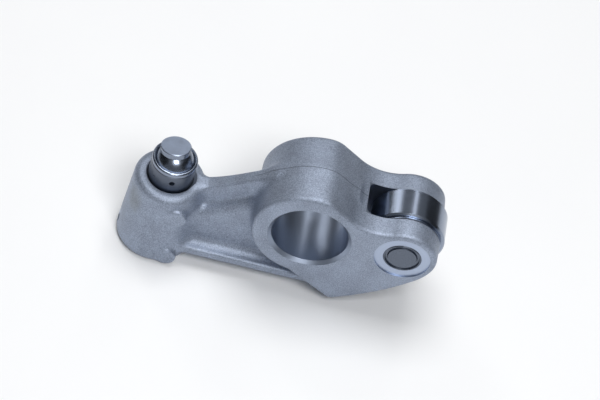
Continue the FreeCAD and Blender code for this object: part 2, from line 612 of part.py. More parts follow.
def make_foot():
    """The swivel foot and the ring that keeps its ball in the sleeve."""
    outside = "(bore_radius - sleeve_play)"
    socket = "(ball_radius + ball_play)"
    turned_piece("retaining_ring", "XZ_Plane", [
        ("sqrt(%s ^ 2 - (ball_drop + ring_height - ring_bevel) ^ 2) + ring_bevel" % socket, "ring_height"),
        (outside + " - ring_round", "ring_height"),
        (outside, "ring_height - ring_round"),
        (outside, "sleeve_bevel"),
        (outside + " - sleeve_bevel", "0"),
        ("sqrt(%s ^ 2 - ball_drop ^ 2)" % socket, "0"),
        ("sqrt(%s ^ 2 - (ball_drop + ring_height - ring_bevel) ^ 2)" % socket, "ring_height - ring_bevel"),
    ], {1: ("ring_round", 1), 5: (socket, -1)}, {"x": "-adjuster_reach", "z": "boss_top + sleeve_rise"})
    foot = turned_piece("swivel_foot", "XZ_Plane", [
        ("0", "foot_height"),
        ("foot_radius - foot_bevel", "foot_height"),
        ("foot_radius", "foot_height - foot_bevel"),
        ("foot_radius", "foot_height - foot_side"),
        ("foot_neck", "sqrt(ball_radius ^ 2 - foot_neck ^ 2)"),
        ("0", "-ball_radius"),
    ], {3: ("foot_hollow", -1), 4: ("ball_radius", 1)},
        {"x": "-adjuster_reach", "z": "boss_top + sleeve_rise - ball_drop"})
    heading = math.radians(size("foot_heading"))
    foot.Placement = FreeCAD.Placement(
        foot.Placement.Base, FreeCAD.Rotation(V(-math.sin(heading), math.cos(heading), 0), size("foot_tilt")))
    bind(foot, ".Placement.Rotation.Angle", "foot_tilt")


def make_plunger():
    """The plunger that stands on the floor of the adjuster bore, with its reservoir."""
    outside = "(sleeve_bore_radius - plunger_play)"
    groove = "(bore_depth - gallery_drop + bore_radius * tan(gallery_angle))"
    high = "(bore_depth - plunger_drop)"
    floor = "boss_top - bore_depth"
    body = turned_piece("adjuster_plunger", "XZ_Plane", [
        ("seat_well_radius", high),
        (outside + " - sleeve_bevel", high),
        (outside, high + " - sleeve_bevel"),
        (outside, groove + " + oil_groove_width / 2"),
        (outside + " - oil_groove_depth", groove + " + oil_groove_width / 2 - oil_groove_depth"),
        (outside + " - oil_groove_depth", groove + " - oil_groove_width / 2 + oil_groove_depth"),
        (outside, groove + " - oil_groove_width / 2"),
        (outside, "0"),
        ("reservoir_radius", "0"),
        ("reservoir_radius", high + " - plunger_crown"),
        ("seat_radius", high + " - plunger_crown"),
        ("seat_radius", high + " - seat_depth"),
        ("seat_well_radius", high + " - seat_depth"),
    ], place={"x": "-adjuster_reach", "z": floor})
    cross_hole(body, "plunger_oil_hole", "YZ_Plane", "oil_hole_radius", groove, False)
    return body


def make_coil(name, radius, wire, turns, low, high):
    """An open coil spring along Z, from one height of its wire's middle to another.

    The wire's section is a ring of arcs, so that no face of the coil closes on itself.
    """
    helix = doc.addObject("Part::Helix", name + "_line")
    bind(helix, "Radius", radius)
    bind(helix, "Height", "(%s) - (%s)" % (high, low))
    bind(helix, "Pitch", "((%s) - (%s)) / %s" % (high, low, turns))
    section = doc.addObject("Part::Compound", name + "_wire")
    arcs = []
    for number in range(WIRE_ARCS):
        arc = doc.addObject("Part::Circle", "%s_arc_%d" % (name, number + 1))
        arc.Angle1 = number * FULL_TURN / WIRE_ARCS
        arc.Angle2 = (number + 1) * FULL_TURN / WIRE_ARCS
        arc.Placement = FreeCAD.Placement(V(size(radius), 0, 0), FreeCAD.Rotation(V(1, 0, 0), 90))
        bind(arc, "Radius", wire)
        bind(arc, ".Placement.Base.x", radius)
        arcs.append(arc)
    section.Links = arcs
    doc.recompute()
    coil = doc.addObject("Part::Sweep", name)
    coil.Label = name
    coil.Sections = [section]
    coil.Spine = (helix, ["Edge1"])
    coil.Solid = True
    coil.Frenet = True
    return set_on_axis(coil, x="-adjuster_reach", z=low)


def make_check_valve():
    """The check ball on its seat, the cage over it, and the two springs."""
    top = "(boss_top - plunger_drop)"
    turned_piece("check_cage", "XZ_Plane", [
        ("cage_hole_radius", "cage_height"),
        ("cage_radius", "cage_height"),
        ("cage_radius", "cage_wall"),
        ("cage_flange_radius", "cage_wall"),
        ("cage_flange_radius", "0"),
        ("cage_radius - cage_wall", "0"),
        ("cage_radius - cage_wall", "cage_height - cage_wall"),
        ("cage_hole_radius", "cage_height - cage_wall"),
    ], place={"x": "-adjuster_reach", "z": top})
    middle = "(%s - seat_depth + sqrt(check_ball_radius ^ 2 - seat_radius ^ 2) + seating_gap)" % top
    ball = doc.addObject("Part::Sphere", "check_ball")
    ball.Label = "check_ball"
    bind(ball, "Radius", "check_ball_radius")
    set_on_axis(ball, x="-adjuster_reach", z=middle)
    foot = "%s + sqrt((check_ball_radius + check_wire + seating_gap) ^ 2 - check_coil ^ 2)" % middle
    make_coil("check_spring", "check_coil", "check_wire", "check_turns", foot,
              top + " + cage_height - cage_wall - check_wire - seating_gap")
    make_coil("plunger_spring", "spring_coil", "spring_wire", "spring_turns",
              top + " + cage_wall + spring_wire + seating_gap",
              "boss_top + sleeve_rise - partition_depth - spring_wire - seating_gap")


def make_stop_ring():
    """The wire ring in the bore's groove that stops the sleeve at the end of its travel."""
    body = new_body("stop_ring")
    wire = round_sketch(body, "stop_wire_section", "XZ_Plane", "stop_wire", ("bore_radius", "0"))
    ring = body.newObject("PartDesign::Revolution", "stop_wire_turn")
    ring.Profile = wire
    ring.ReferenceAxis = (wire, ["V_Axis"])
    bind(ring, "Angle", "360 - 2 * stop_opening")
    set_on_axis(body, x="-adjuster_reach", z="boss_top - stop_depth")


def make_gallery_plug():
    """The ball pressed into the outer end of the gallery, against its shoulder."""
    ball = doc.addObject("Part::Sphere", "gallery_plug")
    ball.Label = "gallery_plug"
    bind(ball, "Radius", "plug_radius - seating_gap")
    along = "(plug_seat + sqrt(plug_radius ^ 2 - gallery_radius ^ 2))"
    set_on_axis(ball, x="-adjuster_reach - %s * cos(gallery_angle)" % along,
                z="boss_top - gallery_drop - %s * sin(gallery_angle)" % along)


def check_document():
    """Stop if any object failed to build, or a piece is not one valid closed solid."""
    for item in doc.Objects:
        if "Invalid" in item.State or "Error" in item.State:
            raise RuntimeError("%s did not build: %s" % (item.Name, item.State))
    for name in NODES:
        shape = doc.getObject(name).Shape
        if shape.isNull() or not shape.isValid() or len(shape.Solids) != 1:
            raise RuntimeError("%s is not one valid solid" % name)


make_casting()
make_roller_set()
make_sleeve()
make_foot()
make_plunger()
make_check_valve()
make_stop_ring()
make_gallery_plug()
doc.recompute()

NODES = ["rocker_casting", "roller_pin", "roller_ring", "thrust_washer_front", "thrust_washer_back",
         "adjuster_sleeve", "retaining_ring", "swivel_foot", "adjuster_plunger", "plunger_spring",
         "check_cage", "check_ball", "check_spring", "stop_ring", "gallery_plug"]
NODES += ["needle_%02d" % (number + 1) for number in range(NEEDLES)]
check_document()
os.makedirs("parts", exist_ok=True)
for name in NODES:
    doc.getObject(name).Shape.exportStep("parts/%s.step" % name)
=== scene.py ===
"""Looks of a roller rocker arm: its finishes, the floor, the lamps and the camera.

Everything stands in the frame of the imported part: the origin is the middle of the shaft
bore, +Y runs along the bore, +Z points the way the swivel foot does and +X points to the
roller. Shapes and finishes are worked out in millimetres, lamps and camera in metres.
"""
import math

import bpy
import numpy as np
from mathutils import Matrix, Vector


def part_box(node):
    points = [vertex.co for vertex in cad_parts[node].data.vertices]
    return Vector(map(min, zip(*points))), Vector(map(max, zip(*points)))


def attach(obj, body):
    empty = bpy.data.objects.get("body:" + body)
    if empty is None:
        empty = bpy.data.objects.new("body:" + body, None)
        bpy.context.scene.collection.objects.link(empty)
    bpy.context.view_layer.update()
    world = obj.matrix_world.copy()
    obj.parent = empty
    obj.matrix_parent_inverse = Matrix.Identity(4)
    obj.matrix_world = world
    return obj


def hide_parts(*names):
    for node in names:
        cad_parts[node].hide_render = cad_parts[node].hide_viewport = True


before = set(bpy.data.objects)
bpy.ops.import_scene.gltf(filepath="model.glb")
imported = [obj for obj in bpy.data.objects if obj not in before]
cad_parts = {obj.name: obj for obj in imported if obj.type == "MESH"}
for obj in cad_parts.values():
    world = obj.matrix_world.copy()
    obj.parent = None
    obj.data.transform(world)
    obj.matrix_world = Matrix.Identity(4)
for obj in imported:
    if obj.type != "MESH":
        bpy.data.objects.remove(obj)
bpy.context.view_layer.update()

MM = 0.001
DEGREE = math.pi / 180


def middle_of(node):
    """The middle of a node's box, in millimetres."""
    low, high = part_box(node)
    return (low + high) / 2 / MM


def radius_of(node):
    """Half of a node's width along X, in millimetres: the radius of a turned piece."""
    low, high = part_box(node)
    return (high.x - low.x) / 2 / MM


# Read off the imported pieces, in millimetres.
PIN = middle_of("roller_pin")
PIN_RADIUS = radius_of("roller_pin")
ADJUSTER = middle_of("adjuster_sleeve")
SLEEVE_RADIUS = radius_of("adjuster_sleeve")
SLEEVE_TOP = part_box("adjuster_sleeve")[1].z / MM
HALF_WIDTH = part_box("rocker_casting")[1].y / MM
FLOOR_GAP = 0.02
FLOOR_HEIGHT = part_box("rocker_casting")[0].z - FLOOR_GAP * MM

# The foot leans on its ball: the ball's middle, the foot's axis and its flat face.
BALL_DROP = 1.0
BALL = Vector((ADJUSTER.x, 0.0, SLEEVE_TOP - BALL_DROP))
FOOT_AXIS = Vector((-0.1049, 0.1893, 0.9763))
FOOT_FACE = 5.7

# Hub and fork, in millimetres and degrees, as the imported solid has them; only the small
# hollow between the keel's edge and the hub is added here.
HUB_RADIUS = 15.05
DRAFT = 2.3
FACE_ROUND = 1.0
SHOULDER_RADIUS = 6.5
FLANK_ANGLE = 36.0
SADDLE_RADIUS = 12.0
FORK_END_RADIUS = 8.9
HEEL_RADIUS = 15.0
HEEL_START = 20.0
HEEL_STOP = 42.0
BELLY_RADIUS = 70.0
KEEL_REACH = 10.0
KEEL_ROUND = 2.2
KEEL_ANGLE = 32.0
KEEL_HOLLOW = 1.6

# Boss, arm and ejector pads, in millimetres.
BOSS_TOP = -1.2
BOSS_LOW = BOSS_TOP - 24.8
BOSS_RADII = (9.3, 10.2)
BOSS_ROUNDS = (2.0, 2.2)
BOSS_BLEND = 2.0
ARM_ENDS = (-36.0, 9.0)
ARM_STATIONS = (-34.0, -22.0, -12.05, 9.0)
ARM_TOPS = (-1.9, 2.7, 9.6, 9.6)
ARM_BASE = -21.7
RIB_HALF = 2.0
RIB_HEIGHT = 6.4
RIB_HOLLOW = 0.9
WEB_HALVES = (5.0, 4.8)
WEB_ROUND = 3.3
FLANGE_HALF = 8.2
FLANGE_THICKNESS = 2.6
FLANGE_HOLLOW = 2.6
SMALL_ROUND = 0.8
ROOT_BLEND = 2.4
PAD_RADIUS = 2.8
PAD_X = -34.1
PADS = ((-7.4, 9.62), (-22.6, 10.15))
PAD_ROUND = 0.4
PAD_BLEND = 0.6

# Machined features of the casting, in millimetres and degrees. The gallery's drill starts
# outside the boss and ends in the shaft bore, this far short of its axis.
SHAFT_RADIUS = 10.0
SHAFT_CHAMFER = 0.85
SPOT_RADIUS = 7.3
SPOT_DEPTH = 0.35
SLOT_HALF = 5.0
SLOT_REACH = 12.3
SLOT_CORNER = 1.8
BORE_RADIUS = 6.0
BORE_DEPTH = 20.8
BORE_BEVEL = 0.5
GROOVE_DROP = 5.4
GROOVE_WIRE = 0.43
GALLERY_RADIUS = 1.5
GALLERY_ANGLE = 29.0
GALLERY_DROP = 15.2
GALLERY_START = 1.5 * BOSS_RADII[1]
GALLERY_END = 0.8 * SHAFT_RADIUS
PLUG_RADIUS = 2.0
PLUG_SEAT = 8.0

# The grid on which the casting's skin grows, in millimetres: its cells, and how far it
# goes past the adjuster's axis, past the pin's, over the hub and on the other sides.
CELL = 0.42
GRID_LEFT = 12.0
GRID_RIGHT = 11.0
GRID_TOP = 2.0
GRID_EDGE = 1.0

# How corners settle on the surface: the number of moves, the step over which the slope is
# measured to each side, and the least square of a slope to divide by.
MOVES = 3
PROBE = 0.01
LEAST_SQUARE = 0.25
FAR = 1e3

# The tools that cut the skin: how far they stand out of it, in millimetres, and their
# sides. Edges sharper than the angle, in degrees, stay sharp.
OVERCUT = 1.0
TOOL_SIDES = 128
DRILL_SIDES = 48
SHARP_ANGLE = 32.0

# How finishes vary: single greys and pairs, where marks and painted shade lie and how
# softly a mask ends at a machined edge, in millimetres.
CAST_GREYS = (0.20, 0.50)
PIT_GREY = 0.10
SEAM_GREY = 0.08
SEAM_START = 6.0
# Painted shade: the colour and middle of a darker brownish patch on the boss's front-left side.
BOSS_SHADE_COLOUR = (0.16, 0.165, 0.12, 1.0)
BOSS_SHADE_PLACE = Vector((-46.0, -7.0, -7.5))
# Oil film and painted shade: how far out and how low the near-black brown in the gap round the sleeve
# reaches.
OIL_AND_SHADE_GAP = 0.16
OIL_AND_SHADE_START = -23.0
SPOT_GREYS = (0.44, 0.55)
HONED_GREYS = (0.33, 0.43)
# Painted shade: the slot's milled walls get a darker grey for the shade inside the slot.
SLOT_SHADE_GREY = 0.30
LAPPED_GREYS = (0.40, 0.56)
POLISHED_GREYS = (0.22, 0.32)
WIRE_GREYS = (0.30, 0.42)
SHEEN = 0.12
EDGE = 0.02

# Floor, cards, surround and lamps: colours, places and sizes in metres, power in watts.
FLOOR_SIZE = 6.0
FLOOR_COLOURS = ((0.90, 0.905, 0.915, 1.0), (0.93, 0.935, 0.94, 1.0))
CARD_COLOURS = ((0.01, 0.01, 0.01, 1.0), (0.02, 0.02, 0.02, 1.0))
CARD_SIZE = (0.6, 0.3)
CARDS = {"left": (-0.32, 0.0, 0.14), "right": (0.32, 0.0, 0.14)}
SURROUND = (0.93, 0.96, 1.0, 1.0)
SURROUND_STRENGTH = 0.20
SHAFT_MIDDLE = Vector((0.0, 0.0, 0.0))
LAMPS = {
    "key": ((-0.05, 0.15, 0.90), (0.55, 0.45), 4.7),
    "front": ((0.12, -0.52, 0.80), (0.40, 0.30), 4.6),
    "left_strip": ((-0.47, 0.57, 0.50), (0.15, 0.50), 0.50),
    "right_strip": ((0.12, 0.58, 0.68), (0.10, 0.50), 0.27),
}

# The photograph's view: turns about X, Y and Z in degrees, the shaft's middle as the
# camera sees it (aside, down and away, in metres), and the lens in millimetres.
VIEW_TURNS = (-39.499, 5.93, -9.919)
VIEW_PLACE = (0.003827, -0.001488, 0.83001)
LENS = 193.13
SENSOR = 36.0


class Wire:
    """A shader socket in a formula: every operator adds its Math node."""

    def __init__(self, shop, socket):
        self.shop = shop
        self.socket = socket

    def math(self, operation, *others):
        """Its Math node with the other values behind it."""
        values = dict(enumerate((self, *others)))
        return self.shop.node("ShaderNodeMath", {"operation": operation}, values)

    def flipped(self, operation, other):
        """Its Math node with the other value in front of it."""
        return self.shop.node("ShaderNodeMath", {"operation": operation}, {0: other, 1: self})

    def __add__(self, other):
        return self.math("ADD", other)

    def __sub__(self, other):
        return self.math("SUBTRACT", other)

    def __mul__(self, other):
        return self.math("MULTIPLY", other)

    def __radd__(self, other):
        return self.flipped("ADD", other)

    def __rsub__(self, other):
        return self.flipped("SUBTRACT", other)

    def __rmul__(self, other):
        return self.flipped("MULTIPLY", other)

    def __abs__(self):
        return self.math("ABSOLUTE")

    def root(self):
        return self.math("SQRT")

    def most(self, other):
        return self.math("MAXIMUM", other)


class Finish:
    """One procedural material, with the nodes that its formulas add; x, y and z are in millimetres."""

    def __init__(self, name):
        self.material = bpy.data.materials.new(name)
        self.material.use_nodes = True
        self.tree = self.material.node_tree
        self.tree.nodes.clear()
        metres = self.node("ShaderNodeTexCoord", {}, {}, "Object")
        self.place = self.node("ShaderNodeVectorMath", {"operation": "SCALE"}, {0: metres, "Scale": 1 / MM})
        self.x, self.y, self.z = (
            self.node("ShaderNodeSeparateXYZ", {}, {0: self.place}, axis) for axis in "XYZ")

    def node(self, kind, settings, sockets, out=0):
        """Add a node: its settings first, then a value or a wire for each named socket."""
        made = self.tree.nodes.new(kind)
        for key, value in settings.items():
            setattr(made, key, value)
        for key, value in sockets.items():
            if isinstance(value, Wire):
                self.tree.links.new(value.socket, made.inputs[key])
            else:
                made.inputs[key].default_value = value
        return Wire(self, made.outputs[out])

    def vector(self, x, y, z):
        """A vector of three values or wires."""
        return self.node("ShaderNodeCombineXYZ", {}, {0: x, 1: y, 2: z})

    def noise(self, scale, detail=2.0, roughness=0.5, at=None):
        """Smooth noise from 0 to 1, with about scale lumps to the millimetre."""
        return self.node("ShaderNodeTexNoise", {}, {
            "Vector": at or self.place, "Scale": scale, "Detail": detail, "Roughness": roughness}, "Fac")

    def cells(self, scale):
        """Distance to the nearest of scattered points, with about scale points to the millimetre."""
        return self.node("ShaderNodeTexVoronoi", {}, {"Vector": self.place, "Scale": scale}, "Distance")

    def step(self, value, edge, soft):
        """0 below the edge and 1 above it, turning smoothly over soft on each side."""
        return self.node("ShaderNodeMapRange", {"interpolation_type": "SMOOTHSTEP"}, {
            "Value": value, "From Min": edge - soft, "From Max": edge + soft})

    def below(self, value, edge, soft):
        """1 below the edge and 0 above it."""
        return 1.0 - self.step(value, edge, soft)

    def blend(self, share, first, second):
        """A colour between two: the first where share is 0 and the second where it is 1."""
        return self.node("ShaderNodeMix", {"data_type": "RGBA"}, {0: share, 6: first, 7: second}, 2)

    def greys(self, share, pair):
        """A grey between the two of a pair."""
        return self.blend(share, grey(pair[0]), grey(pair[1]))

    def mix(self, share, first, second):
        """A number between two: the first where share is 0 and the second where it is 1."""
        return self.node("ShaderNodeMix", {}, {0: share, 2: first, 3: second})

    def reach(self, *parts):
        """The length of a step with these parts: the root of the sum of their squares."""
        total = parts[0] * parts[0]
        for part in parts[1:]:
            total = total + part * part
        return total.root()

    def close(self, colour, roughness, metallic, bump=None, depth=0.02):
        """Wire the shader and give the material; a bump of 1 is depth millimetres high."""
        sockets = {"Base Color": colour, "Roughness": roughness, "Metallic": metallic}
        if bump is not None:
            sockets["Normal"] = self.node("ShaderNodeBump", {}, {
                "Strength": 1.0, "Distance": depth * MM, "Height": bump}, "Normal")
        shader = self.node("ShaderNodeBsdfPrincipled", {}, sockets)
        output = self.tree.nodes.new("ShaderNodeOutputMaterial")
        self.tree.links.new(shader.socket, output.inputs["Surface"])
        return self.material


def grey(level, warmth=0.0):
    """A cool grey, in which red, green and blue are shares of the level; warmth turns it to brown."""
    return (level * (0.85 + warmth), level * (0.98 + warmth * 0.5), level * (1.235 - warmth), 1.0)


def cast_aluminium():
    """Shot-blasted casting with its machined places.

    The raw skin's lightness is 0.5 + 2.1 grain + 0.8 fine + 0.7 clouds, each a noise
    about its middle; pits, a painted shade on the boss's front-left side and the mould's
    seam at y = 0 darken it. Masks on the distance from the axes of bore, pin and adjuster,
    and on the distance from y = 0, put brighter metal with the cutter's rings where it is
    cut, a darker grey as painted shade in the slot, and oil with painted shade in the gap
    round the sleeve.
    """
    f = Finish("cast_aluminium")
    side = abs(f.y)
    grain = f.noise(3.2, detail=3.0, roughness=0.65)
    fine = f.noise(8.0, roughness=0.6)
    clouds = f.noise(0.16, detail=3.0, roughness=0.55)
    pits = f.below(f.cells(0.55), 0.06, soft=0.035)
    lightness = 0.5 + (grain - 0.5) * 2.1 + (fine - 0.5) * 0.8 + (clouds - 0.5) * 0.7
    cast = f.greys(lightness, CAST_GREYS)
    cast = f.blend(pits * 0.5, cast, grey(PIT_GREY))
    # Painted shade: a darker brownish patch on the boss's front-left side, where shade falls.
    across = f.x - BOSS_SHADE_PLACE.x
    along = f.y - BOSS_SHADE_PLACE.y
    up = f.z - BOSS_SHADE_PLACE.z
    boss_shade_reach = (across * across * 0.12 + up * up * 0.04 + along * along * 0.05).root()
    boss_shade = f.below(boss_shade_reach + (f.noise(0.7) - 0.5) * 0.8, 0.75, soft=0.4)
    cast = f.blend(boss_shade * 0.32, cast, BOSS_SHADE_COLOUR)
    seam = f.below(abs(f.y + (f.noise(0.35) - 0.5) * 0.25), 0.09, soft=0.07)
    seam = seam * f.step(f.z, SEAM_START, soft=1.0)
    cast = f.blend(seam * (0.5 + 0.6 * f.noise(0.9)), cast, grey(SEAM_GREY))
    cast_bump = grain * 0.75 + fine * 0.35 - pits * 0.6 - seam * 0.7

    shaft = f.reach(f.x, f.z)
    pin = f.reach(f.x - PIN.x, f.z - PIN.z)
    adjuster = f.reach(f.x - ADJUSTER.x, f.y)
    in_bore = f.below(shaft, SHAFT_RADIUS + 2 * EDGE, EDGE)
    in_shaft = f.below(shaft, SHAFT_RADIUS + SHAFT_CHAMFER, soft=0.03)
    in_spot = f.below(pin, SPOT_RADIUS + EDGE, EDGE) * f.step(side, HALF_WIDTH - SPOT_DEPTH - 0.1, EDGE)
    in_slot = f.below(side, SLOT_HALF + 0.03, EDGE) * f.step(f.x, SLOT_REACH - 0.03, EDGE)
    in_adjuster = f.below(adjuster, SLEEVE_RADIUS + OIL_AND_SHADE_GAP, soft=0.06) * f.step(f.z, OIL_AND_SHADE_START, soft=0.1)
    machined = in_shaft.most(in_spot).most(in_slot).most(in_adjuster)

    rings = f.noise(9.0, roughness=0.6, at=f.vector(f.y, shaft, 0.0))
    spot_rings = f.noise(7.0, roughness=0.6, at=f.vector(pin, 0.0, side * 0.1))
    bright = f.greys(spot_rings, SPOT_GREYS)
    honed = f.greys(rings, HONED_GREYS)
    # Oil film and painted shade: the adjuster bore's wall in the gap round the sleeve is painted near-black
    # brown.
    oil_and_shade = f.blend(f.noise(1.2), grey(0.05, warmth=0.2), grey(0.16, warmth=0.15))
    surface = f.blend(in_shaft, f.blend(in_spot, cast, bright), honed)
    # Painted shade: the slot's walls are painted a darker grey for the shade inside the slot.
    surface = f.blend(in_slot, surface, grey(SLOT_SHADE_GREY))
    surface = f.blend(in_adjuster, surface, oil_and_shade)
    roughness = f.mix(machined, 0.40 + grain * 0.16, 0.42)
    roughness = f.mix(in_bore, roughness, 0.33)
    bump = f.mix(machined, cast_bump, f.mix(in_bore, spot_rings * 0.08, rings * 0.03))
    metallic = f.mix(machined, 0.72, 1.0)
    return f.close(surface, roughness, metallic, bump, depth=0.11)


def turned_steel(name, level, roughness, axis, middle, lines=9.0, depth=0.006):
    """Ground or turned steel: fine rings about its axis, clouded by handling.

    The rings are noise over the distance from the axis and the place along it. Colour
    and roughness follow fixed shares of rings and clouds.
    """
    f = Finish(name)
    if axis == "Y":
        out = f.reach(f.x - middle.x, f.z - middle.z)
        along = f.y
    else:
        out = f.reach(f.x - middle.x, f.y - middle.y)
        along = f.z
    rings = f.noise(lines, detail=3.0, roughness=0.7, at=f.vector(out, along, 0.0))
    clouds = f.noise(0.35, detail=3.0)
    colour = f.greys(rings * 0.6 + clouds * 0.4, (level * (1 - SHEEN), level * (1 + SHEEN)))
    roughness = roughness * 0.75 + (rings * 0.3 + clouds * 0.3) * roughness
    return f.close(colour, roughness, 1.0, rings, depth)


def foot_steel():
    """The foot: a lapped matt face, and a polished side and ball under it.

    The face is where the height (p - ball) . axis comes up to it.
    """
    f = Finish("lapped_foot")
    height = (f.x - BALL.x) * FOOT_AXIS.x + (f.y - BALL.y) * FOOT_AXIS.y + (f.z - BALL.z) * FOOT_AXIS.z
    face = f.step(height, FOOT_FACE - 0.12, soft=0.05)
    streaks = f.noise(3.0, detail=3.0, roughness=0.6, at=f.vector(f.x * 0.3, f.y, f.z))
    clouds = f.noise(0.5, detail=3.0, roughness=0.6)
    lapped = f.greys(clouds, LAPPED_GREYS)
    polished = f.greys(streaks * 0.5 + clouds * 0.5, POLISHED_GREYS)
    roughness = f.mix(face, 0.2 + clouds * 0.1, 0.50 + clouds * 0.1)
    return f.close(f.blend(face, polished, lapped), roughness, 1.0, streaks, depth=0.006)


def wire_steel():
    """Drawn spring wire, slightly blued: streaky noise in colour and roughness."""
    f = Finish("spring_wire")
    streaks = f.noise(1.5, detail=3.0, roughness=0.6)
    return f.close(f.greys(streaks, WIRE_GREYS), 0.25 + streaks * 0.15, 1.0, f.noise(12.0), depth=0.004)


def give(nodes, material):
    """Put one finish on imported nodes."""
    for name in nodes:
        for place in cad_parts[name].material_slots:
            place.link = "OBJECT"
            place.material = material


def heading(angle):
    """The unit step at that angle from X towards Z: (cos a, sin a)."""
    return np.array((math.cos(angle * DEGREE), math.sin(angle * DEGREE)))


def run_to_circle(start, step, centre, radius):
    """How far a line from start first meets a circle: t = -b - sqrt(b*b - c)."""
    along = float((start - centre) @ step)
    rest = float((start - centre) @ (start - centre)) - radius * radius
    return -along - math.sqrt(along * along - rest)


def side_outline():
    """The hub and fork seen along the shaft, as a list of arcs and a list of lines.

    Ten edges run tangent into each other: hub, shoulder, flank, hollow saddle, fork's
    end, heel, belly, keel corner, the edge back up and its hollow at the hub. Each
    centre lies on the line through the next arc's centre and the point where they meet.
    An arc holds its centre, radius, middle direction, the cosine of half its span, and
    1 where it bulges or -1 where it is hollow. A line holds its start and its end.
    """
    hub = np.zeros(2)
    pin = np.array((PIN.x, PIN.z))
    shoulder = np.array((0.0, HUB_RADIUS - SHOULDER_RADIUS))
    out = heading(90 - FLANK_ANGLE)
    down = heading(-FLANK_ANGLE)
    flank_start = shoulder + out * SHOULDER_RADIUS
    saddle_line = flank_start + out * SADDLE_RADIUS
    flank_length = run_to_circle(saddle_line, down, pin, FORK_END_RADIUS + SADDLE_RADIUS)
    flank_end = flank_start + down * flank_length
    saddle = saddle_line + down * flank_length
    saddle_end = pin + (saddle - pin) * (FORK_END_RADIUS / (FORK_END_RADIUS + SADDLE_RADIUS))
    heel = pin - heading(-HEEL_START) * (HEEL_RADIUS - FORK_END_RADIUS)
    heel_start = pin + heading(-HEEL_START) * FORK_END_RADIUS
    heel_end = heel + heading(-HEEL_STOP) * HEEL_RADIUS
    belly = heel - heading(-HEEL_STOP) * (BELLY_RADIUS - HEEL_RADIUS)
    keel_drop = math.sqrt((BELLY_RADIUS - KEEL_ROUND) ** 2 - (KEEL_REACH - belly[0]) ** 2)
    keel = np.array((KEEL_REACH, belly[1] - keel_drop))
    belly_end = belly + (keel - belly) * (BELLY_RADIUS / (BELLY_RADIUS - KEEL_ROUND))
    edge_way = heading(180 - KEEL_ANGLE)
    edge_start = keel - heading(90 - KEEL_ANGLE) * KEEL_ROUND
    root_line = edge_start - heading(90 - KEEL_ANGLE) * KEEL_HOLLOW
    root_length = run_to_circle(root_line, edge_way, hub, HUB_RADIUS + KEEL_HOLLOW)
    edge_end = edge_start + edge_way * root_length
    root = root_line + edge_way * root_length
    hub_end = root * (HUB_RADIUS / (HUB_RADIUS + KEEL_HOLLOW))
    hub_top = np.array((0.0, HUB_RADIUS))
    hub_left = np.array((-HUB_RADIUS, 0.0))

    def arc(centre, radius, start, end, sign):
        first = start - centre
        last = end - centre
        middle = (first + last) / np.linalg.norm(first + last)
        half = math.acos(float(first @ last) / radius ** 2) / 2
        return (centre, radius, middle, math.cos(half), sign)

    arcs = [
        arc(hub, HUB_RADIUS, hub_top, hub_left, 1),
        arc(hub, HUB_RADIUS, hub_left, hub_end, 1),
        arc(root, KEEL_HOLLOW, hub_end, edge_end, -1),
        arc(shoulder, SHOULDER_RADIUS, hub_top, flank_start, 1),
        arc(saddle, SADDLE_RADIUS, flank_end, saddle_end, -1),
        arc(pin, FORK_END_RADIUS, saddle_end, heel_start, 1),
        arc(heel, HEEL_RADIUS, heel_start, heel_end, 1),
        arc(belly, BELLY_RADIUS, heel_end, belly_end, 1),
        arc(keel, KEEL_ROUND, belly_end, edge_start, 1),
    ]
    return arcs, [(flank_start, flank_end), (edge_start, edge_end)]


ARCS, LINES = side_outline()


def side_distance(x, z):
    """Distance from the side outline, below 0 inside it.

    For an arc it is sign * (|p - c| - r) where p lies in the arc's span, for a line the
    distance across it where p lies beside it; the edge with the least size wins.
    """
    x, z = np.broadcast_arrays(x, z)
    nearest = np.full(x.shape, FAR)
    for centre, radius, middle, span, sign in ARCS:
        across = x - centre[0]
        up = z - centre[1]
        away = np.hypot(across, up)
        inside = across * middle[0] + up * middle[1] >= span * away
        gap = np.where(inside, sign * (away - radius), FAR)
        nearest = np.where(np.abs(gap) < np.abs(nearest), gap, nearest)
    for start, end in LINES:
        length = np.linalg.norm(end - start)
        step = (end - start) / length
        along = (x - start[0]) * step[0] + (z - start[1]) * step[1]
        gap = (z - start[1]) * step[0] - (x - start[0]) * step[1]
        gap = np.where((along >= 0) & (along <= length), gap, FAR)
        nearest = np.where(np.abs(gap) < np.abs(nearest), gap, nearest)
    return nearest


def joined(first, second, radius):
    """Two bodies run together over a hollow: max(r, min(a, b)) - |(max(r-a, 0), max(r-b, 0))|."""
    hollow = np.hypot(np.maximum(radius - first, 0), np.maximum(radius - second, 0))
    return np.maximum(radius, np.minimum(first, second)) - hollow


def common(first, second, radius):
    """What two bodies share, with its edge rounded: the hollow's formula turned inside out."""
    return -joined(-first, -second, radius)


